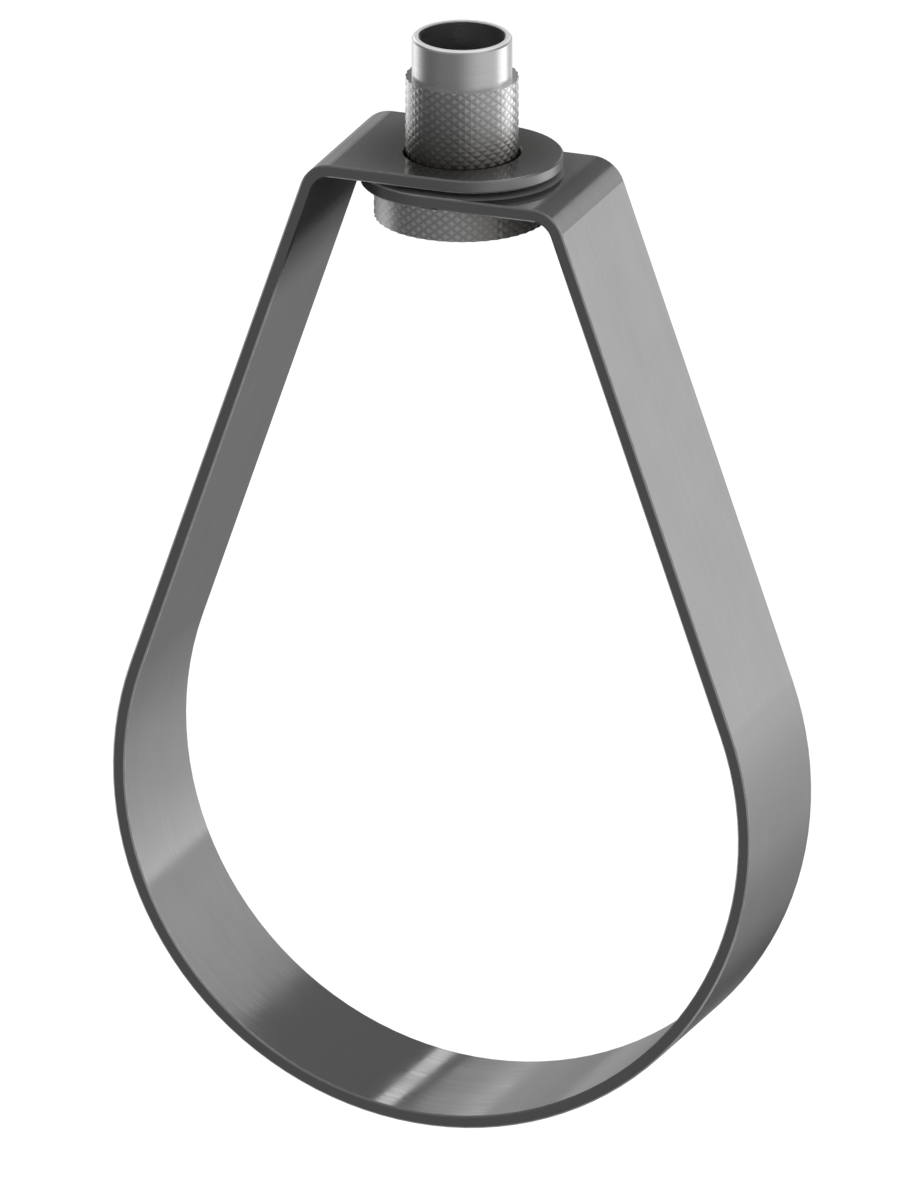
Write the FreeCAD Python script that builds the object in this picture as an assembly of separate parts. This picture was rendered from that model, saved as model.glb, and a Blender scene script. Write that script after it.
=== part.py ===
# Swivel ring hanger for a 2 1/2 inch pipe on an M10 rod.
# A steel strip is bent into a pear-shaped ring, and its two ends lap over each other at the top.
# A turned nut stands in a hole through both ends: its flange carries the strip from below, and
# its knurled hub stands out above, where the rod screws in. The ring swivels around the nut.
# Sizes are in millimetres. The origin is on the rod's axis, on the face where the flange
# carries the strip. +Z points up the rod and +Y lies along the pipe.

import FreeCAD, Part

import math
import os

from FreeCAD import Vector

# Strip
strip_width = 20.0
strip_thickness = 1.5
edge_break = 0.2            # bevel along the slit edges, the tab ends and the punched holes

# Ring: the pipe's outside diameter is 73.0
ring_bore = 74.0
pipe_drop = 71.4            # from the flange's bearing face down to the pipe's axis
shoulder_width = 29.8       # outside, between the sharp corners of the two shoulders
bend_radius = 2.4           # inside the shoulder bends
tab_gap = 0.8               # open gap between the lower tab and the upper tab
tab_reach = 11.6            # from the rod's axis to the round end of each tab

# Nut
flange_diameter = strip_width
flange_thickness = 3.7
hub_diameter = 12.9         # over the points of its knurl
hub_height = 9.0            # above the upper tab
neck_relief = 0.1           # the smooth neck in the tabs' holes lies below the knurl's grooves
collar_diameter = 11.4      # the smooth upper part
collar_height = 4.8
collar_chamfer = 0.3
hole_clearance = 0.15       # radial, with which the hub passes through the holes in the tabs

# Bore: M10 x 1.5, drawn at its tapping drill's diameter
tapping_drill = 8.5
lead_in_diameter = 10.0     # clears the rod's thread
lead_in_depth = 4.2
countersink_diameter = 10.3

# Diamond knurl on the hub and the flange
knurl_pitch = 1.35          # around the nut, from point to point
knurl_diamond_height = 1.08
knurl_depth = 0.15
knurl_run_in = 1.1          # how far the hub's knurl goes down into the upper tab's hole

# What follows from those sizes
ring_radius = ring_bore / 2
tabs_height = 2 * strip_thickness + tab_gap
hub_top = tabs_height + hub_height
nut_top = hub_top + collar_height
hole_radius = hub_diameter / 2 + hole_clearance

# Faces that meet at more than this angle form a sharp edge
sharp_corner = math.radians(45)


def lower_tab_level():
    """Underside of the lower tab, above the pipe's axis."""
    return pipe_drop


def upper_tab_level():
    """Underside of the upper tab, above the pipe's axis."""
    return pipe_drop + strip_thickness + tab_gap


def leg_lean(tab_level):
    """Lean from upright of the leg that runs from its shoulder down to touch the ring."""
    corner_x = shoulder_width / 2
    corner_z = tab_level + strip_thickness
    outer_radius = ring_radius + strip_thickness
    corner_distance = math.hypot(corner_x, corner_z)
    return math.atan2(corner_z, corner_x) - math.acos(outer_radius / corner_distance)


def half_outline(side, tab_level, offset):
    """One side of the strip's section, seen along the pipe, from its tab down to the ring's foot.

    side is 1 for +X and -1 for -X, and offset is how far outside the strip's inner face it lies.
    """
    lean = leg_lean(tab_level)
    radius = ring_radius + offset
    bend = bend_radius + offset
    tab_z = tab_level + offset

    # The bend's centre lies under the tab by the bend's radius, and inside the leg by as much.
    centre_z = tab_z - bend
    centre_x = (radius - bend - centre_z * math.sin(lean)) / math.cos(lean)
    turn = (math.pi / 2 + lean) / 2

    def point(x, z):
        return Vector(side * x, 0, z - pipe_drop)

    def on_bend(angle):
        return point(centre_x + bend * math.cos(angle), centre_z + bend * math.sin(angle))

    def on_ring(angle):
        return point(radius * math.cos(angle), radius * math.sin(angle))

    foot_half_way = (lean - math.pi / 2) / 2
    return [
        Part.Arc(on_bend(math.pi / 2), on_bend(turn), on_bend(lean)).toShape(),
        Part.LineSegment(on_bend(lean), on_ring(lean)).toShape(),
        Part.Arc(on_ring(lean), on_ring(foot_half_way), on_ring(-math.pi / 2)).toShape(),
    ]


def bend_end_x(tab_level):
    """How far from the rod's axis a tab's flat ends and its shoulder bend begins."""
    lean = leg_lean(tab_level)
    centre_z = tab_level - bend_radius
    return (ring_radius - bend_radius - centre_z * math.sin(lean)) / math.cos(lean)


def half_ring(side, tab_level):
    """A shoulder, a leg and half of the round part, bent from the strip."""
    inner = half_outline(side, tab_level, 0)
    outer = half_outline(side, tab_level, strip_thickness)
    tab_end = Part.LineSegment(inner[0].firstVertex().Point, outer[0].firstVertex().Point)
    foot_end = Part.LineSegment(inner[-1].lastVertex().Point, outer[-1].lastVertex().Point)
    edges = inner + outer + [tab_end.toShape(), foot_end.toShape()]
    section = Part.Face(Part.Wire(Part.__sortEdges__(edges)))
    section.translate(Vector(0, -strip_width / 2, 0))
    return section.extrude(Vector(0, strip_width, 0))


def tab(side, tab_level):
    """The flat end that lies across the rod's axis, from the shoulder on this side."""
    half_width = strip_width / 2
    start = side * bend_end_x(tab_level)
    arc_centre = -side * (tab_reach - half_width)
    bottom = tab_level - pipe_drop
    near_start = Vector(start, -half_width, bottom)
    near_end = Vector(arc_centre, -half_width, bottom)
    tip = Vector(-side * tab_reach, 0, bottom)
    far_end = Vector(arc_centre, half_width, bottom)
    far_start = Vector(start, half_width, bottom)
    outline = Part.Wire([
        Part.LineSegment(near_start, near_end).toShape(),
        Part.Arc(near_end, tip, far_end).toShape(),
        Part.LineSegment(far_end, far_start).toShape(),
        Part.LineSegment(far_start, near_start).toShape(),
    ])
    plate = Part.Face(outline).extrude(Vector(0, 0, strip_thickness))
    hole = Part.makeCylinder(hole_radius, strip_thickness, Vector(0, 0, bottom))
    return plate.cut(hole)


def sharp_edges(shape):
    """Edges where two faces meet at a corner, without those where they run on smoothly."""
    found = []
    for edge in shape.Edges:
        faces = shape.ancestorsOfType(edge, Part.Face)
        if len(faces) != 2:
            continue
        middle = edge.valueAt((edge.FirstParameter + edge.LastParameter) / 2)
        normals = [face.normalAt(*face.Surface.parameter(middle)) for face in faces]
        if normals[0].getAngle(normals[1]) > sharp_corner:
            found.append(edge)
    return found


def ring_band():
    """The whole strip as one solid, with its sharp edges broken."""
    left = half_ring(-1, upper_tab_level()).fuse(tab(-1, upper_tab_level()))
    right = half_ring(1, lower_tab_level()).fuse(tab(1, lower_tab_level()))
    band = left.fuse(right).removeSplitter()
    return band.makeChamfer(edge_break, sharp_edges(band))


def turned(corners):
    """A solid turned around the rod's axis from (radius, height) corners."""
    points = [Vector(radius, 0, height) for radius, height in corners]
    outline = Part.makePolygon(points + points[:1])
    return Part.Face(outline).revolve(Vector(0, 0, 0), Vector(0, 0, 1), 360)


def knurled_drum(diameter, low, high):
    """A drum whose side is a diamond knurl, left by two sets of grooves that cross.

    The side is a lattice of rows, in which points and groove crossings take turns. Each square
    of the lattice has a groove along one diagonal, which splits it into two flat facets. The
    ends are faced flat, so the knurl runs out to a sharp edge.
    """
    rows = round((high - low) / (knurl_diamond_height / 2))
    columns = 2 * round(math.pi * diameter / knurl_pitch)
    point_radius = diameter / 2
    groove_radius = point_radius - knurl_depth

    def node(column, row):
        is_point = (column + row) % 2 == 0
        radius = point_radius if is_point else groove_radius
        angle = 2 * math.pi * column / columns
        height = low + (high - low) * row / rows
        return Vector(radius * math.cos(angle), radius * math.sin(angle), height)

    def facet(*corners):
        return Part.Face(Part.makePolygon([*corners, corners[0]]))

    facets = []
    for row in range(rows):
        for column in range(columns):
            corner = node(column, row)
            beside = node(column + 1, row)
            above = node(column, row + 1)
            across = node(column + 1, row + 1)
            if (column + row) % 2 == 0:
                facets += [facet(corner, beside, above), facet(across, above, beside)]
            else:
                facets += [facet(beside, across, corner), facet(above, corner, across)]
    for row in (0, rows):
        facets.append(facet(*[node(column, row) for column in range(columns)]))
    return Part.Solid(Part.makeShell(facets))


def bore():
    """What the countersink, the tapping drill and the lead-in take away."""
    drill = tapping_drill / 2
    lead_in = lead_in_diameter / 2
    countersink = countersink_diameter / 2
    lead_in_low = nut_top - lead_in_depth
    return turned([
        (0, -flange_thickness),
        (countersink, -flange_thickness),
        (drill, -flange_thickness + (countersink - drill)),
        (drill, lead_in_low - (lead_in - drill)),
        (lead_in, lead_in_low),
        (lead_in, nut_top),
        (0, nut_top),
    ])


def swivel_nut():
    """The nut: a flange, a smooth neck, a knurled hub and a smooth collar, bored through."""
    neck_radius = hub_diameter / 2 - knurl_depth - neck_relief
    collar_radius = collar_diameter / 2
    inside_flange = -flange_thickness / 2
    inside_hub = hub_top - hub_height / 2
    core = turned([
        (0, inside_flange),
        (neck_radius, inside_flange),
        (neck_radius, inside_hub),
        (collar_radius, inside_hub),
        (collar_radius, nut_top - collar_chamfer),
        (collar_radius - collar_chamfer, nut_top),
        (0, nut_top),
    ])
    flange = knurled_drum(flange_diameter, -flange_thickness, 0)
    hub = knurled_drum(hub_diameter, tabs_height - knurl_run_in, hub_top)
    return core.fuse([flange, hub]).cut(bore())


def main():
    os.makedirs("parts", exist_ok=True)
    pieces = {"ring_band": ring_band(), "swivel_nut": swivel_nut()}
    for name, solid in pieces.items():
        solid.exportStep(f"parts/{name}.step")
        print(name, "valid", solid.isValid(), "solids", len(solid.Solids), "volume", round(solid.Volume, 1))


main()
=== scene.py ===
"""Looks of the swivel ring hanger: a bent steel strip hung on a knurled, threaded nut."""

import math

import bpy
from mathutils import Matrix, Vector


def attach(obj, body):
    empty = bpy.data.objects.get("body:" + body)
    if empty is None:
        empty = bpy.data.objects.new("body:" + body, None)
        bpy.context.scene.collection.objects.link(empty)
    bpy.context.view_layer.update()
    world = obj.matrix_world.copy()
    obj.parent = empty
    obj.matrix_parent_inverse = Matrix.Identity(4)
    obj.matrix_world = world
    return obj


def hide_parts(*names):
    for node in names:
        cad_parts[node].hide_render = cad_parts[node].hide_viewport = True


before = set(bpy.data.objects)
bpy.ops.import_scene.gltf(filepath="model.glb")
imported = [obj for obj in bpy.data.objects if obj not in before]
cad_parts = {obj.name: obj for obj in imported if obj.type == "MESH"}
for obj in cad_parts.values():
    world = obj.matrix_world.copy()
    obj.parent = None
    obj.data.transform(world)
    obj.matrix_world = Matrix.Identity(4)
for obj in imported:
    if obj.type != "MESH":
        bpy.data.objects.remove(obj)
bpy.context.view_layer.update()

# Lengths are in metres. The origin is on the rod's axis, on the face where the nut's flange
# carries the strip. +Z points up the rod and +Y lies along the pipe, away from the front.
MM = 0.001
HAIR = 0.01 * MM            # slack with which two places count as one

# The camera stands to the right of the pipe's line, above the ring, and sees it without
# perspective, in a frame of 924 by 1200 pixels.
FRAME_WIDTH_PX = 924
FRAME_HEIGHT_PX = 1200
CAMERA_AZIMUTH = math.radians(20.6)
CAMERA_ELEVATION = math.radians(19.45)
PIXELS_PER_METRE = 8844
AIM_HEIGHT = -50.1 * MM
CAMERA_DISTANCE = 1.2
CLIP_NEAR = 0.01
CLIP_FAR = 20

# Studio
FLOOR_HEIGHT = -165 * MM
FLOOR_SIZE = 4.0
FLOOR_GREY = 0.9
FLOOR_GLOW = 0.15           # the floor's own light, only to the camera and through glass
AMBIENT = 1.0               # the even light on what isn't metal

NUT_MIDDLE = (0, 0, 8 * MM)
RING_FOOT = (0, 0, -108 * MM)
LAMPS = (                   # name, place, what it faces, width, height and brightness
    ("streak_lamp", (-0.178, 0.706, 0.224), RING_FOOT, 0.034, 0.1, 0.85),
    ("low_back_lamp", (-0.106, 0.265, -0.018), RING_FOOT, 0.04, 0.052, 0.23),
    ("right_lamp", (0.354, 0.287, -0.12), NUT_MIDDLE, 0.25, 0.45, 1.05),
)

# The room that the metal reflects: how bright it is, 1 being white, in directions given by the
# X, Y and Z of a unit vector. A name that ends in SPAN holds the two values of X, Y or Z
# between which something fades in or out.
ROOM_GREY = 0.2
LOW_SHARE = 0.4             # of that grey, low down
LOW_Z_SPAN = (-0.47, -0.34)
CEILING_SHARE = 0.65        # of that grey, overhead
CEILING_Z_SPAN = (0.4, 0.41)
DARK_CORNERS = (            # where, how much darker, and how quickly that fades to the sides
    ((-0.87, -0.49, 0), 0.8, 12),
    ((-0.36, 0.83, 0.42), 0.25, 40),
)
LIT_WALLS = (               # where, how bright, and how quickly that fades to the sides
    ((-0.86, 0.4, -0.32), 1.5, 16),
    ((-0.7, 0.65, 0.28), 1.6, 40),
    ((0.9, 0.3, 0.3), 1.2, 40),
)
BACK_WALL_Y_SPAN = (0.1, 0.6)
BACK_WALL_SEAM_X_SPAN = (-0.15, 0.15)
BACK_WALL_LEFT = (          # height, and how bright the wall is there
    (-0.3, 0.0), (-0.09, 0.17), (-0.03, 0.14), (-0.02, 0.06), (0.04, 0.06), (0.17, 0.11),
    (0.23, 0.16), (0.31, 0.0),
)
BACK_WALL_RIGHT = (
    (-0.5, 0.17), (-0.35, 0.24), (-0.2, 0.36), (-0.07, 0.53), (-0.02, 0.64),
    (0.0, 0.28), (0.12, 0.33), (0.3, 0.3), (0.395, 0.22), (0.407, 0.0),
)
RIGHT_WALL_LEVEL = 0.6
RIGHT_WALL_START_X = (0.05, 0.4)    # at the front and at the back
RIGHT_WALL_START_Y_SPAN = (-0.2, 0.6)
RIGHT_WALL_FULL_X = 1.1
RIGHT_WALL_Y_SPAN = (0.3, 0.6)
FRONT_WALL_LEVEL = 0.2
FRONT_WALL_Y_SPAN = (-0.5, 0)
FRONT_WALL_Z_SPAN = (0.1, 0.5)
FRONT_FLOOR_LEVEL = 0.5
BACK_FLOOR_LEVEL = 0.75
BACK_FLOOR_Y_SPAN = (0.25, 0.5)
FLOOR_Z_SPAN = (-0.75, -0.62)
SKYLIGHT_LEVEL = 0.6
SKYLIGHT_Z_SPAN = (0.65, 0.95)
SKYLIGHT_Y_SPAN = (-0.3, 0)

# Strip
STRIP_HALF_WIDTH = 10.0 * MM
EDGE_BREAK = 0.2 * MM
TIP_CENTRE = 1.6 * MM       # from the rod's axis to the centre of each tab's round end
TIP_REACH = 12.5 * MM       # a little past the tip of each tab
TABS_FOOT = -0.3 * MM       # a little under the lower tab
TABS_PARTING = 1.9 * MM     # height between the two tabs
GAP_FOOT = 1.4 * MM         # the open gap between them, with a little of either tab
GAP_TOP = 2.4 * MM
GAP_RIM_SPAN = (-0.3 * MM, 0.3 * MM)
HOLE_RADIUS = 6.6 * MM

# Nut
HUB_RADIUS = 6.45 * MM
HUB_KNURL_FOOT = 2.7 * MM
HUB_TOP = 12.8 * MM
TABS_TOP = 3.8 * MM
NUT_TOP = 17.6 * MM
RIM_FOOT = NUT_TOP - 0.15 * MM
FLANGE_RADIUS = 10.0 * MM
FLANGE_FOOT = -3.7 * MM
FLANGE_TOP = 0.0
KNURL_DEPTH = 0.15 * MM
KNURL_LIMIT = 1.1 * KNURL_DEPTH     # how far under its points a place still counts as knurl,
KNURL_MARGIN = 0.1 * KNURL_DEPTH    # and how far outside them
KNURLS = (                  # the radius of each knurl's points, and its lower and upper end
    (FLANGE_RADIUS, FLANGE_FOOT, FLANGE_TOP),
    (HUB_RADIUS, HUB_KNURL_FOOT, HUB_TOP),
)
DRILL_RADIUS = 4.25 * MM
LEAD_IN_FOOT = 13.4 * MM
COUNTERSINK_RADIUS = 5.15 * MM
THREAD_ROOT_RADIUS = 5.0 * MM
THREAD_PITCH = 1.5 * MM
THREAD_FOOT = FLANGE_FOOT + 0.3 * MM
THREAD_ROOT_WIDTH = 1.32 * MM
THREAD_CREST_WIDTH = 0.38 * MM
THREAD_SINK = 0.02 * MM     # how far the ridge's foot lies in the wall
THREAD_STEPS = 64
MERGE_DISTANCE = 0.001 * MM
SMOOTH_ANGLE = math.radians(15)

# Zinc skin: clouds and tool lines to the metre, and how far each swings the grey
CLOUD_DETAIL = 4
LINE_DETAIL = 1
STRIP_CLOUD_SCALE = 130.0
STRIP_CLOUDS = 0.16
STRIP_LINES_ALONG = 25
STRIP_LINES_ACROSS = 1500
STRIP_LINES = 0.1
STRIP_LINE_DEPTH = 0.002 * MM
NUT_CLOUD_SCALE = 250.0
NUT_CLOUDS = 0.12
NUT_RINGS = 3000
NUT_LINES = 0.12
NUT_RING_DEPTH = 0.003 * MM

# Worn edges
WORN_GREY = (0.62, 0.62, 0.625)
WEAR_SCALE = 900
WEAR_DETAIL = 3
WEAR_SPAN = (0.35, 0.65)    # of the noise that breaks the line
STRIP_WEAR_WIDTH = 0.06 * MM
NUT_WEAR_WIDTH = 0.04 * MM

# Strip's finish
STRIP_GREY = (0.48, 0.48, 0.485)
STRIP_METALLIC = 0.94
STRIP_ROUGHNESS = 0.11
SLIT_EDGE_GREY = (0.28, 0.28, 0.283)
SLIT_EDGE_ROUGHNESS = 0.35
SLIT_EDGE_SPAN = (0.7 * EDGE_BREAK, 1.1 * EDGE_BREAK)
DULL_ROUGHNESS = 0.6
DULL_METALLIC = 0.5
# painted shade: on the tabs round the nut, at the hub's foot and on the flange's right side
PAINTED_SHADE_GREY = (0.12, 0.115, 0.105)
TAB_SHADE_FOOT = -0.1 * MM
TAB_SHADE_SPAN = (HOLE_RADIUS, 2.4 * HOLE_RADIUS)
TAB_SHADE_SHARE = 0.75
# painted shade inside the two shoulders, black and hardly metallic at the top
SHOULDER_SHADE_GREY = (0.03, 0.03, 0.03)
SHOULDER_SHADE_METALLIC = 0.05
SHOULDER_TOP = 2.35 * MM    # just over the upper tab's underside
SHOULDER_SHADE_SPAN = (-15 * MM, -6 * MM)
SHOULDER_SHADE_TOP_SPAN = (-9.5 * MM, -3 * MM)

# Nut's finish. Sideways is how far to the right of the rod's axis the camera sees a place.
NUT_GREY = (0.6, 0.6, 0.605)
NUT_METALLIC = 0.92
NUT_ROUGHNESS = 0.3
# a painted highlight on the nut's right side as the camera sees it, and half of it over the
# flange
HIGHLIGHT_GREY = (0.9, 0.9, 0.905)
HIGHLIGHT_SIDEWAYS_SPAN = (3.5 * MM, 5.5 * MM)
FLANGE_HIGHLIGHT_SHARE = 0.5
# painted shade in the knurls' grooves
GROOVE_SHADE_GREY = (0.3, 0.3, 0.3)
GROOVE_SHADE_SHARE = 0.6
GROOVE_SPAN = (0.3 * KNURL_DEPTH, KNURL_DEPTH)
FACET_SHARE = 0.35          # how much of the slope of the knurl's facets shows in its light
# painted shade round the hub's foot
FOOT_SHADE_Z_SPAN = (TABS_TOP - 2 * MM, TABS_TOP + 11 * MM)
FOOT_SHADE_SIDEWAYS_SPAN = (2 * MM, 5.5 * MM)
FOOT_SHADE_RIGHT_SHARE = 0.2
FOOT_SHADE_RIGHT_Z_SPAN = (6.5 * MM, 10 * MM)
# a painted shadow on the flange's right side
FLANGE_SHADOW_X_SPAN = (-2 * MM, 7 * MM)
FLANGE_SHADOW_SHARE = 0.9
# painted shade in the bore
BORE_SHADE_GREY = (0.3, 0.3, 0.3)
BORE_SPAN = (THREAD_ROOT_RADIUS, THREAD_ROOT_RADIUS + 0.1 * MM)
# painted light on the flange's left end, and a painted highlight along the outline of the hub and
# collar
PAINTED_LIGHT_GREY = (0.85, 0.85, 0.855)
PAINTED_LIGHT_METALLIC = 0.3
LIT_END_SIDEWAYS_SPAN = (-9.6 * MM, -6.5 * MM)
LIT_OUTLINE_SPAN = (0.7, 0.85)     # of how edge-on the camera sees the surface
LIT_OUTLINE_Z_SPAN = (TABS_TOP, NUT_TOP - 4 * MM)
# a painted highlight on the flat rim at the top
RIM_HIGHLIGHT_GREY = (0.92, 0.92, 0.92)
RIM_HIGHLIGHT_METALLIC = 0.35


# Nodes

def connect(tree, source, socket):
    """Give a socket its value, which is another node's output, a number or a colour."""
    if isinstance(source, bpy.types.NodeSocket):
        tree.links.new(source, socket)
    elif isinstance(source, tuple) and len(source) == 3 and socket.type == "RGBA":
        socket.default_value = (*source, 1)
    else:
        socket.default_value = source


def maths(tree, operation, first, second=0.0):
    """The result of one sum on two values."""
    node = tree.nodes.new("ShaderNodeMath")
    node.operation = operation
    connect(tree, first, node.inputs[0])
    connect(tree, second, node.inputs[1])
    return node.outputs[0]


def product(tree, first, *others):
    for other in others:
        first = maths(tree, "MULTIPLY", first, other)
    return first


def total(tree, first, *others):
    for other in others:
        first = maths(tree, "ADD", first, other)
    return first


def is_over(tree, value, limit):
    """1 where the value is over the limit, and 0 elsewhere."""
    return maths(tree, "GREATER_THAN", value, limit)


def is_under(tree, value, limit):
    """1 where the value is under the limit, and 0 elsewhere."""
    return maths(tree, "LESS_THAN", value, limit)


def length(tree, first, second):
    """The length of a line with these two sides."""
    squares = total(tree, maths(tree, "POWER", first, 2), maths(tree, "POWER", second, 2))
    return maths(tree, "SQRT", squares)


def remap(tree, value, low, high, at_low, at_high):
    """at_low where the value is low, at_high where it is high, and a smooth run between."""
    node = tree.nodes.new("ShaderNodeMapRange")
    node.interpolation_type = "SMOOTHSTEP"
    connect(tree, value, node.inputs["Value"])
    connect(tree, low, node.inputs["From Min"])
    connect(tree, high, node.inputs["From Max"])
    connect(tree, at_low, node.inputs["To Min"])
    connect(tree, at_high, node.inputs["To Max"])
    return node.outputs["Result"]


def blend(tree, share, first, second):
    """The first value where share is 0, and the second where it is 1."""
    return remap(tree, share, 0, 1, first, second)


def blend_colours(tree, share, first, second):
    """The first colour where share is 0, and the second where it is 1."""
    node = tree.nodes.new("ShaderNodeMix")
    node.data_type = "RGBA"
    connect(tree, share, node.inputs["Factor"])
    connect(tree, first, node.inputs["A"])
    connect(tree, second, node.inputs["B"])
    return node.outputs["Result"]


def profile(tree, value, stops):
    """A value read off a line through stops, each a place from -1 to 1 and the value there."""
    node = tree.nodes.new("ShaderNodeValToRGB")
    share = maths(tree, "ADD", maths(tree, "MULTIPLY", value, 0.5), 0.5)
    tree.links.new(share, node.inputs["Fac"])
    elements = node.color_ramp.elements
    while len(elements) < len(stops):
        elements.new(1)
    for element, (place, height) in zip(elements, stops):
        element.position = (place + 1) / 2
        element.color = (height, height, height, 1)
    return node.outputs["Color"]


def split_axes(tree, vector):
    """The X, Y and Z of a vector."""
    node = tree.nodes.new("ShaderNodeSeparateXYZ")
    tree.links.new(vector, node.inputs[0])
    return node.outputs


def combined(tree, x, y, z):
    """The vector with this X, Y and Z."""
    node = tree.nodes.new("ShaderNodeCombineXYZ")
    for value, socket in zip((x, y, z), node.inputs):
        connect(tree, value, socket)
    return node.outputs[0]


def noise(tree, vector, scale, detail):
    """A cloudy value around 0.5, with scale clouds to the metre."""
    node = tree.nodes.new("ShaderNodeTexNoise")
    connect(tree, vector, node.inputs["Vector"])
    connect(tree, scale, node.inputs["Scale"])
    node.inputs["Detail"].default_value = detail
    return node.outputs["Fac"]


def seen_rays(tree, path):
    """1 for what the camera sees, straight or through glass, and 0 for all other light."""
    return maths(tree, "MAXIMUM", path["Is Camera Ray"], path["Is Transmission Ray"])


# Studio

def direction(azimuth, elevation):
    """Unit vector towards a place around the object, azimuth 0 being the front."""
    return Vector((
        math.sin(azimuth) * math.cos(elevation),
        -math.cos(azimuth) * math.cos(elevation),
        math.sin(elevation),
    ))


def add_camera():
    data = bpy.data.cameras.new("camera")
    data.type = "ORTHO"
    data.ortho_scale = max(FRAME_WIDTH_PX, FRAME_HEIGHT_PX) / PIXELS_PER_METRE
    data.clip_start = CLIP_NEAR
    data.clip_end = CLIP_FAR
    camera = bpy.data.objects.new("camera", data)
    bpy.context.scene.collection.objects.link(camera)
    towards_camera = direction(CAMERA_AZIMUTH, CAMERA_ELEVATION)
    camera.location = Vector((0, 0, AIM_HEIGHT)) + CAMERA_DISTANCE * towards_camera
    camera.rotation_euler = towards_camera.to_track_quat("Z", "Y").to_euler()
    bpy.context.scene.camera = camera


def add_lamp(name, place, aim, width, height, brightness):
    """A flat lamp at a place, facing aim, that looks as bright as a sheet of that brightness."""
    data = bpy.data.lights.new(name, "AREA")
    data.shape = "RECTANGLE"
    data.size = width
    data.size_y = height
    data.energy = brightness * math.pi * width * height
    lamp = bpy.data.objects.new(name, data)
    bpy.context.scene.collection.objects.link(lamp)
    lamp.location = place
    lamp.rotation_euler = (Vector(place) - Vector(aim)).to_track_quat("Z", "Y").to_euler()
    lamp.visible_camera = False


def facing(tree, towards, centre, falloff):
    """1 towards one direction, fading to the sides."""
    node = tree.nodes.new("ShaderNodeVectorMath")
    node.operation = "DOT_PRODUCT"
    tree.links.new(towards, node.inputs[0])
    node.inputs[1].default_value = Vector(centre).normalized()
    return maths(tree, "POWER", maths(tree, "MAXIMUM", node.outputs["Value"], 0), falloff)


def reflected_room(tree, towards):
    """How bright the room looks in the metal.

    A grey room is darker low down, overhead and in its dark corners. To it are added a back
    wall, brightest on its right just under the horizon, a pale right wall and front, the lit
    walls, a floor straight below and a skylight straight above.
    """
    x, y, z = split_axes(tree, towards)
    grey = product(
        tree,
        remap(tree, z, *LOW_Z_SPAN, LOW_SHARE * ROOM_GREY, ROOM_GREY),
        remap(tree, z, *CEILING_Z_SPAN, 1, CEILING_SHARE))
    for corner, share, falloff in DARK_CORNERS:
        darkening = product(tree, facing(tree, towards, corner, falloff), share)
        grey = product(tree, grey, maths(tree, "SUBTRACT", 1, darkening))
    back_wall = blend_colours(
        tree,
        remap(tree, x, *BACK_WALL_SEAM_X_SPAN, 0, 1),
        profile(tree, z, BACK_WALL_LEFT),
        profile(tree, z, BACK_WALL_RIGHT))
    back = product(tree, back_wall, remap(tree, y, *BACK_WALL_Y_SPAN, 0, 1))
    right_from = remap(tree, y, *RIGHT_WALL_START_Y_SPAN, *RIGHT_WALL_START_X)
    right = product(
        tree,
        remap(tree, x, right_from, RIGHT_WALL_FULL_X, 0, RIGHT_WALL_LEVEL),
        remap(tree, y, *RIGHT_WALL_Y_SPAN, 1, 0))
    lit = [
        product(tree, facing(tree, towards, wall, falloff), level)
        for wall, level, falloff in LIT_WALLS]
    front = product(
        tree,
        remap(tree, y, *FRONT_WALL_Y_SPAN, FRONT_WALL_LEVEL, 0),
        remap(tree, z, *FRONT_WALL_Z_SPAN, 0, 1))
    below = product(
        tree,
        remap(tree, z, *FLOOR_Z_SPAN, 1, 0),
        remap(tree, y, *BACK_FLOOR_Y_SPAN, FRONT_FLOOR_LEVEL, BACK_FLOOR_LEVEL))
    above = product(
        tree,
        remap(tree, z, *SKYLIGHT_Z_SPAN, 0, SKYLIGHT_LEVEL),
        remap(tree, y, *SKYLIGHT_Y_SPAN, 0, 1))
    return total(tree, grey, back, right, *lit, front, below, above)


def add_world():
    """White to the camera and through glass, a dim room to metal, and even light to the rest."""
    world = bpy.data.worlds.new("studio")
    bpy.context.scene.world = world
    world.use_nodes = True
    tree = world.node_tree
    path = tree.nodes.new("ShaderNodeLightPath").outputs
    towards = tree.nodes.new("ShaderNodeTexCoord").outputs["Generated"]
    reflected = product(tree, path["Is Glossy Ray"], reflected_room(tree, towards))
    as_light = product(tree, path["Is Diffuse Ray"], AMBIENT)
    strength = maths(tree, "MAXIMUM", seen_rays(tree, path), reflected)
    strength = maths(tree, "MAXIMUM", strength, as_light)
    tree.links.new(strength, tree.nodes["Background"].inputs["Strength"])
    tree.nodes["Background"].inputs["Color"].default_value = (1, 1, 1, 1)


def add_floor():
    """A white floor, which the metal doesn't reflect."""
    bpy.ops.mesh.primitive_plane_add(size=FLOOR_SIZE, location=(0, 0, FLOOR_HEIGHT))
    floor = bpy.context.object
    floor.name = "studio_floor"
    material = bpy.data.materials.new("white_floor")
    material.use_nodes = True
    tree = material.node_tree
    shader = tree.nodes["Principled BSDF"]
    shader.inputs["Base Color"].default_value = (FLOOR_GREY, FLOOR_GREY, FLOOR_GREY, 1)
    shader.inputs["Roughness"].default_value = 1
    shader.inputs["Specular IOR Level"].default_value = 0
    shader.inputs["Emission Color"].default_value = (1, 1, 1, 1)
    path = tree.nodes.new("ShaderNodeLightPath").outputs
    glow = product(tree, seen_rays(tree, path), FLOOR_GLOW)
    tree.links.new(glow, shader.inputs["Emission Strength"])
    floor.data.materials.append(material)
    floor.visible_glossy = False


# Finishes

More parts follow.
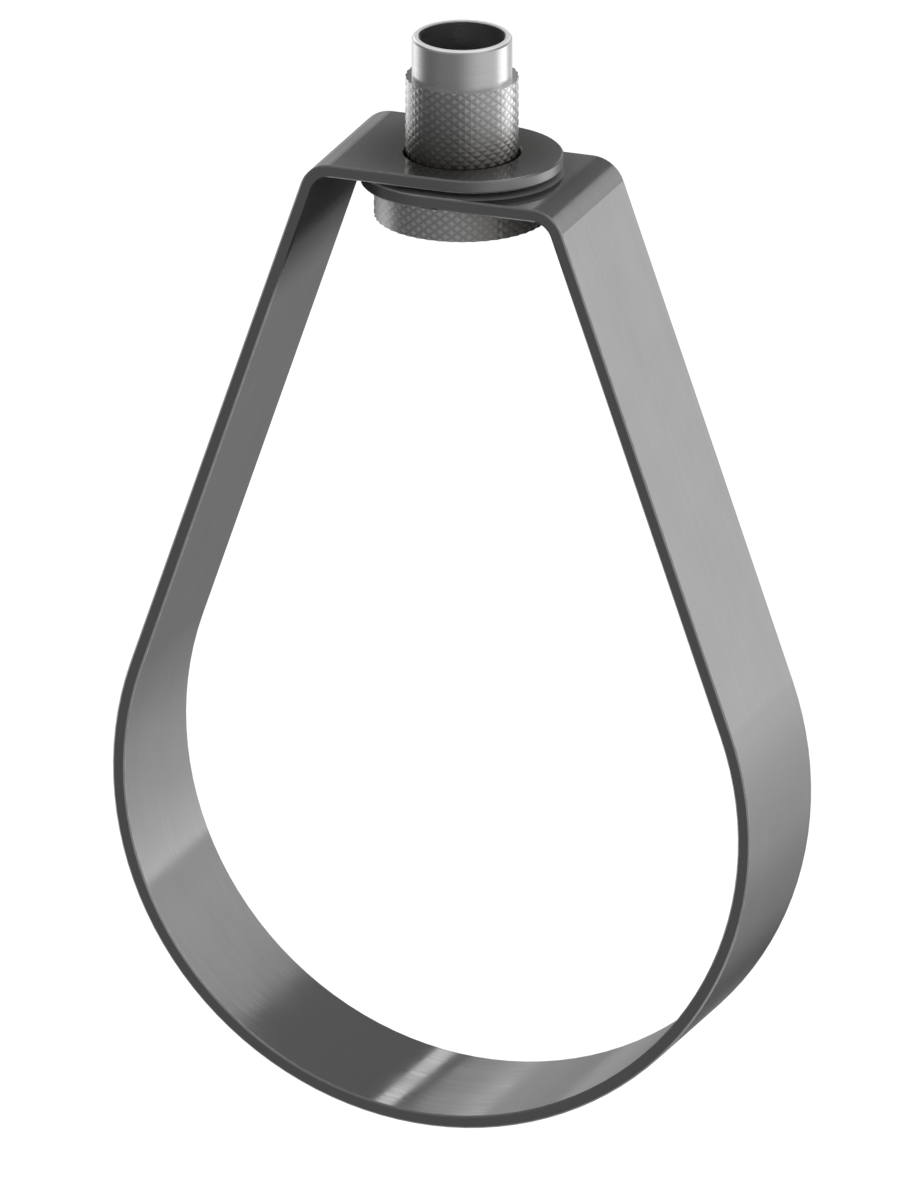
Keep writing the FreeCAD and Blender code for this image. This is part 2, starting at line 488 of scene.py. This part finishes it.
def new_group(name, inputs, outputs):
    """An empty node group with named sockets, and the nodes that hold its inputs and outputs."""
    tree = bpy.data.node_groups.new(name, "ShaderNodeTree")
    for label, kind in inputs.items():
        tree.interface.new_socket(label, in_out="INPUT", socket_type="NodeSocket" + kind)
    for label, kind in outputs.items():
        tree.interface.new_socket(label, in_out="OUTPUT", socket_type="NodeSocket" + kind)
    given = tree.nodes.new("NodeGroupInput").outputs
    result = tree.nodes.new("NodeGroupOutput").inputs
    return tree, given, result


def use_group(tree, group, **values):
    """The outputs of a group that is placed with these input values."""
    node = tree.nodes.new("ShaderNodeGroup")
    node.node_tree = group
    for label, value in values.items():
        connect(tree, value, node.inputs[label.replace("_", " ")])
    return node.outputs


def zinc_skin_group():
    """Zinc on worked steel: soft clouds in its grey, and the fine lines of the tool under it."""
    tree, given, result = new_group(
        "zinc_skin",
        {"Position": "Vector", "Line Position": "Vector", "Colour": "Color",
         "Cloud Scale": "Float", "Clouds": "Float", "Lines": "Float", "Roughness": "Float"},
        {"Colour": "Color", "Roughness": "Float", "Height": "Float"},
    )
    clouds = noise(tree, given["Position"], given["Cloud Scale"], CLOUD_DETAIL)
    lines = noise(tree, given["Line Position"], 1, LINE_DETAIL)
    cloud_swing = product(tree, maths(tree, "SUBTRACT", clouds, 0.5), given["Clouds"])
    line_swing = product(tree, maths(tree, "SUBTRACT", lines, 0.5), given["Lines"])
    swing = total(tree, cloud_swing, line_swing)
    tone = tree.nodes.new("ShaderNodeVectorMath")
    tone.operation = "SCALE"
    tree.links.new(given["Colour"], tone.inputs["Vector"])
    tree.links.new(total(tree, swing, 1), tone.inputs["Scale"])
    tree.links.new(tone.outputs[0], result["Colour"])
    tree.links.new(maths(tree, "SUBTRACT", given["Roughness"], swing), result["Roughness"])
    tree.links.new(lines, result["Height"])
    return tree


def worn_edge_group():
    """Zinc rubbed thin in a broken line along an edge, Depth being how far a place is from it."""
    tree, given, result = new_group(
        "worn_edge",
        {"Position": "Vector", "Depth": "Float", "Width": "Float", "Colour": "Color",
         "Worn Colour": "Color"},
        {"Colour": "Color"},
    )
    broken = noise(tree, given["Position"], WEAR_SCALE, WEAR_DETAIL)
    near = remap(tree, given["Depth"], 0, given["Width"], 1, 0)
    share = product(tree, near, remap(tree, broken, *WEAR_SPAN, 0, 1))
    worn = blend_colours(tree, share, given["Colour"], given["Worn Colour"])
    tree.links.new(worn, result["Colour"])
    return tree


def new_material(name):
    material = bpy.data.materials.new(name)
    material.use_nodes = True
    return material, material.node_tree, material.node_tree.nodes["Principled BSDF"]


def object_position(tree):
    """The place on the piece, and its X, Y and Z."""
    place = tree.nodes.new("ShaderNodeTexCoord").outputs["Object"]
    return place, *split_axes(tree, place)


def inward_face(tree, x):
    """1 where the surface faces the part's middle plane, and 0 where it faces away from it."""
    normal = tree.nodes.new("ShaderNodeTexCoord").outputs["Normal"]
    return is_under(tree, product(tree, split_axes(tree, normal)["X"], x), 0)


def add_bump(tree, shader, height, depth):
    """Raise the surface by height times depth, in metres."""
    bump = tree.nodes.new("ShaderNodeBump")
    bump.inputs["Distance"].default_value = depth
    connect(tree, height, bump.inputs["Height"])
    tree.links.new(bump.outputs["Normal"], shader.inputs["Normal"])
    return bump


def partly_faceted(tree, share):
    """The smoothed normal, turned by this share towards that of the flat facet under it."""
    geometry = tree.nodes.new("ShaderNodeNewGeometry").outputs
    mix = tree.nodes.new("ShaderNodeMix")
    mix.data_type = "VECTOR"
    connect(tree, share, mix.inputs["Factor"])
    connect(tree, geometry["Normal"], mix.inputs["A"])
    connect(tree, geometry["True Normal"], mix.inputs["B"])
    unit = tree.nodes.new("ShaderNodeVectorMath")
    unit.operation = "NORMALIZE"
    connect(tree, mix.outputs["Result"], unit.inputs[0])
    return unit.outputs[0]


def strip_finish(zinc_skin, worn_edge):
    """Zinc-coated strip: rolled along its length, with no zinc and darker on its slit edges."""
    material, tree, shader = new_material("galvanised_strip")
    place, x, y, z = object_position(tree)
    lines = combined(
        tree,
        product(tree, x, STRIP_LINES_ALONG),
        product(tree, y, STRIP_LINES_ACROSS),
        product(tree, z, STRIP_LINES_ALONG))
    skin = use_group(
        tree, zinc_skin, Position=place, Line_Position=lines, Colour=STRIP_GREY,
        Cloud_Scale=STRIP_CLOUD_SCALE, Clouds=STRIP_CLOUDS, Lines=STRIP_LINES,
        Roughness=STRIP_ROUGHNESS)

    # How far in from the strip's cut edge a place lies, also at the round ends of the two tabs.
    is_upper = is_over(tree, z, TABS_PARTING)
    past_upper = maths(tree, "SUBTRACT", x, TIP_CENTRE)
    past_lower = maths(tree, "SUBTRACT", product(tree, x, -1), TIP_CENTRE)
    past_tip = blend(tree, is_upper, past_lower, past_upper)
    off_axis = maths(tree, "ABSOLUTE", x)
    is_tab = product(tree, is_over(tree, z, TABS_FOOT), is_under(tree, off_axis, TIP_REACH))
    past = product(tree, maths(tree, "MAXIMUM", past_tip, 0), is_tab)
    edge_depth = maths(tree, "SUBTRACT", STRIP_HALF_WIDTH, length(tree, past, y))

    # The slit edges have no zinc, and are worn bright along their corners.
    on_edge = remap(tree, edge_depth, *SLIT_EDGE_SPAN, 1, 0)
    faced = blend_colours(tree, on_edge, skin["Colour"], SLIT_EDGE_GREY)
    from_corner = maths(tree, "ABSOLUTE", maths(tree, "SUBTRACT", edge_depth, EDGE_BREAK))
    worn = use_group(
        tree, worn_edge, Position=place, Depth=from_corner, Width=STRIP_WEAR_WIDTH,
        Colour=faced, Worn_Colour=WORN_GREY)
    roughness = blend(tree, on_edge, skin["Roughness"], SLIT_EDGE_ROUGHNESS)

    # Painted shade darkens the tabs round the nut, but not their edges.
    shade_round_nut = product(
        tree,
        is_over(tree, z, TAB_SHADE_FOOT),
        maths(tree, "SUBTRACT", 1, on_edge),
        remap(tree, length(tree, x, y), *TAB_SHADE_SPAN, TAB_SHADE_SHARE, 0))
    colour = blend_colours(tree, shade_round_nut, worn["Colour"], PAINTED_SHADE_GREY)

    # The two faces that meet in the gap between the tabs are dull, as far as the upper tab's end.
    upper_past = maths(tree, "MAXIMUM", past_upper, 0)
    under_end = maths(tree, "SUBTRACT", STRIP_HALF_WIDTH, length(tree, upper_past, y))
    in_gap = product(
        tree,
        is_tab,
        is_over(tree, z, GAP_FOOT),
        is_under(tree, z, GAP_TOP),
        remap(tree, under_end, *GAP_RIM_SPAN, 0, 1))
    roughness = blend(tree, in_gap, roughness, DULL_ROUGHNESS)
    metallic = blend(tree, in_gap, STRIP_METALLIC, DULL_METALLIC)

    # Painted shade, black, darkens the inside of the two shoulders, growing upwards, and at the
    # top it is not metallic either.
    in_shoulder = product(
        tree,
        is_under(tree, z, SHOULDER_TOP),
        inward_face(tree, x),
        is_over(tree, off_axis, TIP_REACH))
    shoulder_shading = product(tree, in_shoulder, remap(tree, z, *SHOULDER_SHADE_SPAN, 0, 1))
    colour = blend_colours(tree, shoulder_shading, colour, SHOULDER_SHADE_GREY)
    shoulder_shade_top = product(tree, in_shoulder, remap(tree, z, *SHOULDER_SHADE_TOP_SPAN, 0, 1))
    metallic = blend(tree, shoulder_shade_top, metallic, SHOULDER_SHADE_METALLIC)

    tree.links.new(colour, shader.inputs["Base Color"])
    tree.links.new(metallic, shader.inputs["Metallic"])
    tree.links.new(roughness, shader.inputs["Roughness"])
    shader.inputs["Specular IOR Level"].default_value = 0
    add_bump(tree, shader, skin["Height"], STRIP_LINE_DEPTH)
    return material


def nut_finish(zinc_skin, worn_edge):
    """Zinc-plated turned steel: rings of the tool, and painted shade in the knurl grooves and
    round the foot.
    """
    material, tree, shader = new_material("plated_steel")
    place, x, y, z = object_position(tree)
    radius = length(tree, x, y)
    sideways = total(
        tree,
        product(tree, x, math.cos(CAMERA_AZIMUTH)),
        product(tree, y, math.sin(CAMERA_AZIMUTH)))
    above_flange = is_over(tree, z, FLANGE_TOP)
    on_flange = is_under(tree, z, FLANGE_TOP)

    # A painted highlight lightens the nut's right side as the camera sees it, and half as much
    # all over the flange.
    painted_highlight = maths(
        tree, "MAXIMUM",
        remap(tree, sideways, *HIGHLIGHT_SIDEWAYS_SPAN, 0, 1),
        remap(tree, z, FLANGE_TOP, FLANGE_TOP + HAIR, FLANGE_HIGHLIGHT_SHARE, 0))
    lines = combined(tree, product(tree, radius, NUT_RINGS), product(tree, z, NUT_RINGS), 0.0)
    skin = use_group(
        tree, zinc_skin, Position=place, Line_Position=lines,
        Colour=blend_colours(tree, painted_highlight, NUT_GREY, HIGHLIGHT_GREY),
        Cloud_Scale=NUT_CLOUD_SCALE, Clouds=NUT_CLOUDS, Lines=NUT_LINES,
        Roughness=NUT_ROUGHNESS)

    # Painted shade darkens the grooves of the two knurls, which lie under their points. The
    # points are worn.
    point_radius = blend(tree, above_flange, FLANGE_RADIUS, HUB_RADIUS)
    under_points = maths(tree, "SUBTRACT", point_radius, radius)
    groove_shade = product(
        tree,
        remap(tree, under_points, *GROOVE_SPAN, 0, 1),
        is_under(tree, under_points, KNURL_LIMIT),
        GROOVE_SHADE_SHARE)
    shade_in_grooves = blend_colours(tree, groove_shade, skin["Colour"], GROOVE_SHADE_GREY)
    worn = use_group(
        tree, worn_edge, Position=place, Depth=maths(tree, "ABSOLUTE", under_points),
        Width=NUT_WEAR_WIDTH, Colour=shade_in_grooves, Worn_Colour=WORN_GREY)

    # Painted shade darkens the hub's foot, with little of it high up on the right, and a painted
    # shadow darkens the flange's right side.
    high_on_right = remap(tree, z, *FOOT_SHADE_RIGHT_Z_SPAN, 1, FOOT_SHADE_RIGHT_SHARE)
    foot_shade = product(
        tree,
        above_flange,
        remap(tree, z, *FOOT_SHADE_Z_SPAN, 1, 0),
        remap(tree, sideways, *FOOT_SHADE_SIDEWAYS_SPAN, 1, high_on_right))
    flange_shadow = product(
        tree, on_flange, remap(tree, x, *FLANGE_SHADOW_X_SPAN, 0, FLANGE_SHADOW_SHARE))
    painted_shade = maths(tree, "MAXIMUM", foot_shade, flange_shadow)
    colour = blend_colours(tree, painted_shade, worn["Colour"], PAINTED_SHADE_GREY)

    # Painted shade darkens the bore. Painted light lightens the flange's left end, and painted
    # highlights lighten the outline of the hub and collar and the flat rim at the top.
    bore_shade = remap(tree, radius, *BORE_SPAN, 1, 0)
    colour = blend_colours(tree, bore_shade, colour, BORE_SHADE_GREY)
    edge_on = tree.nodes.new("ShaderNodeLayerWeight").outputs["Facing"]
    lit_end = product(
        tree, on_flange, remap(tree, sideways, *LIT_END_SIDEWAYS_SPAN, 1, 0))
    lit_outline = product(
        tree,
        remap(tree, edge_on, *LIT_OUTLINE_SPAN, 0, 1),
        remap(tree, z, *LIT_OUTLINE_Z_SPAN, 0, 1))
    pale = maths(tree, "MAXIMUM", lit_end, lit_outline)
    colour = blend_colours(tree, pale, colour, PAINTED_LIGHT_GREY)
    on_rim = is_over(tree, z, RIM_FOOT)
    colour = blend_colours(tree, on_rim, colour, RIM_HIGHLIGHT_GREY)

    metallic = blend(tree, on_rim, NUT_METALLIC, RIM_HIGHLIGHT_METALLIC)
    metallic = blend(tree, pale, metallic, PAINTED_LIGHT_METALLIC)
    metallic = remap(tree, flange_shadow, 0, FLANGE_SHADOW_SHARE, metallic, DULL_METALLIC)
    tree.links.new(colour, shader.inputs["Base Color"])
    tree.links.new(metallic, shader.inputs["Metallic"])
    tree.links.new(skin["Roughness"], shader.inputs["Roughness"])
    bump = add_bump(tree, shader, skin["Height"], NUT_RING_DEPTH)
    tree.links.new(partly_faceted(tree, FACET_SHARE), bump.inputs["Normal"])
    return material


# Nut and thread

def select_only(piece):
    bpy.ops.object.select_all(action="DESELECT")
    piece.select_set(True)
    bpy.context.view_layer.objects.active = piece


def axis_distance(place):
    """How far a place lies from the rod's axis."""
    return math.hypot(place.x, place.y)


def set_radius(vertex, radius):
    """Move a vertex straight out from the rod's axis, or in."""
    scale = radius / axis_distance(vertex.co)
    vertex.co.x *= scale
    vertex.co.y *= scale


def smooth_knurls(mesh):
    """Let the light run on from facet to facet of the knurls, up to the edges at their ends."""
    for edge in mesh.edges:
        ends = [mesh.vertices[index].co for index in edge.vertices]
        for point_radius, low, high in KNURLS:
            on_knurl = all(
                point_radius - KNURL_LIMIT < axis_distance(end) < point_radius + KNURL_MARGIN
                and low - HAIR < end.z < high + HAIR
                for end in ends)
            at_end = any(
                all(abs(end.z - level) < HAIR for end in ends)
                for level in (low, high))
            if on_knurl and not at_end:
                edge.use_edge_sharp = False


def open_bore():
    """The nut with its drilled hole opened to the bottom of the thread's grooves."""
    piece = bpy.data.objects.new("turned_nut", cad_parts["swivel_nut"].data.copy())
    bpy.context.scene.collection.objects.link(piece)
    select_only(piece)
    bpy.ops.mesh.customdata_custom_splitnormals_clear()
    bpy.ops.object.mode_set(mode="EDIT")
    bpy.ops.mesh.select_all(action="SELECT")
    bpy.ops.mesh.remove_doubles(threshold=MERGE_DISTANCE)
    bpy.ops.object.mode_set(mode="OBJECT")

    # The countersink keeps its slope, so where it meets the wider bore lies lower.
    opened_by = (COUNTERSINK_RADIUS - THREAD_ROOT_RADIUS) / (COUNTERSINK_RADIUS - DRILL_RADIUS)
    for vertex in piece.data.vertices:
        radius = axis_distance(vertex.co)
        if vertex.co.z > 0:
            if radius <= THREAD_ROOT_RADIUS - HAIR:
                set_radius(vertex, THREAD_ROOT_RADIUS)
        elif radius <= COUNTERSINK_RADIUS:
            set_radius(vertex, COUNTERSINK_RADIUS - (COUNTERSINK_RADIUS - radius) * opened_by)
            vertex.co.z = FLANGE_FOOT + (vertex.co.z - FLANGE_FOOT) * opened_by
    bpy.ops.object.shade_smooth_by_angle(angle=SMOOTH_ANGLE)
    smooth_knurls(piece.data)
    return piece


def wind_thread():
    """The M10 thread: one ridge wound up the bore, cut off by the countersink and the lead-in."""
    root_radius = THREAD_ROOT_RADIUS + THREAD_SINK
    depth = root_radius - DRILL_RADIUS

    # The ridge's section: a square outline, made as deep and wide as the ridge, then narrowed
    # towards the bore.
    bpy.ops.object.select_all(action="DESELECT")
    bpy.ops.mesh.primitive_plane_add(size=1, rotation=(math.pi / 2, 0, 0))
    ridge = bpy.context.object
    ridge.name = "rod_thread"
    ridge.location = ((root_radius + DRILL_RADIUS) / 2, 0, THREAD_FOOT)
    ridge.scale = (depth, THREAD_ROOT_WIDTH, 1)
    bpy.ops.object.transform_apply(location=True, rotation=True, scale=True)
    bpy.ops.object.mode_set(mode="EDIT")
    bpy.ops.mesh.delete(type="ONLY_FACE")
    bpy.ops.mesh.select_all(action="DESELECT")
    bpy.ops.object.mode_set(mode="OBJECT")
    for vertex in ridge.data.vertices:
        vertex.select = vertex.co.x < DRILL_RADIUS + depth / 2
    bpy.ops.object.mode_set(mode="EDIT")
    bpy.ops.transform.resize(value=(1, 1, THREAD_CREST_WIDTH / THREAD_ROOT_WIDTH))
    bpy.ops.object.mode_set(mode="OBJECT")

    screw = ridge.modifiers.new("wound", "SCREW")
    screw.angle = 2 * math.pi
    screw.iterations = math.ceil((LEAD_IN_FOOT - THREAD_FOOT) / THREAD_PITCH)
    screw.screw_offset = THREAD_PITCH
    screw.steps = THREAD_STEPS
    screw.render_steps = THREAD_STEPS
    bpy.ops.object.modifier_apply(modifier=screw.name)
    bpy.ops.object.mode_set(mode="EDIT")
    bpy.ops.mesh.select_all(action="SELECT")
    bpy.ops.mesh.fill_holes(sides=4)
    bpy.ops.mesh.normals_make_consistent(inside=False)
    bpy.ops.object.mode_set(mode="OBJECT")

    # What would stand out into the countersink or the lead-in is pressed back to their slopes.
    for vertex in ridge.data.vertices:
        above_foot = vertex.co.z - FLANGE_FOOT
        below_lead_in = LEAD_IN_FOOT - vertex.co.z
        clear = max(
            COUNTERSINK_RADIUS - above_foot,
            THREAD_ROOT_RADIUS - below_lead_in,
            axis_distance(vertex.co))
        set_radius(vertex, min(clear, root_radius))
    bpy.ops.object.shade_smooth_by_angle(angle=SMOOTH_ANGLE)
    return ridge


zinc_skin = zinc_skin_group()
worn_edge = worn_edge_group()
strip_steel = strip_finish(zinc_skin, worn_edge)
nut_steel = nut_finish(zinc_skin, worn_edge)

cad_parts["ring_band"].material_slots[0].material = strip_steel
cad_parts["swivel_nut"].material_slots[0].material = nut_steel
turned_nut = open_bore()
rod_thread = wind_thread()
for piece in (turned_nut, rod_thread):
    piece.data.materials.clear()
    piece.data.materials.append(nut_steel)
    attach(piece, "nut")
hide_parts("swivel_nut")

bpy.context.scene.view_settings.view_transform = "Standard"
add_camera()
add_world()
add_floor()
for lamp in LAMPS:
    add_lamp(*lamp)
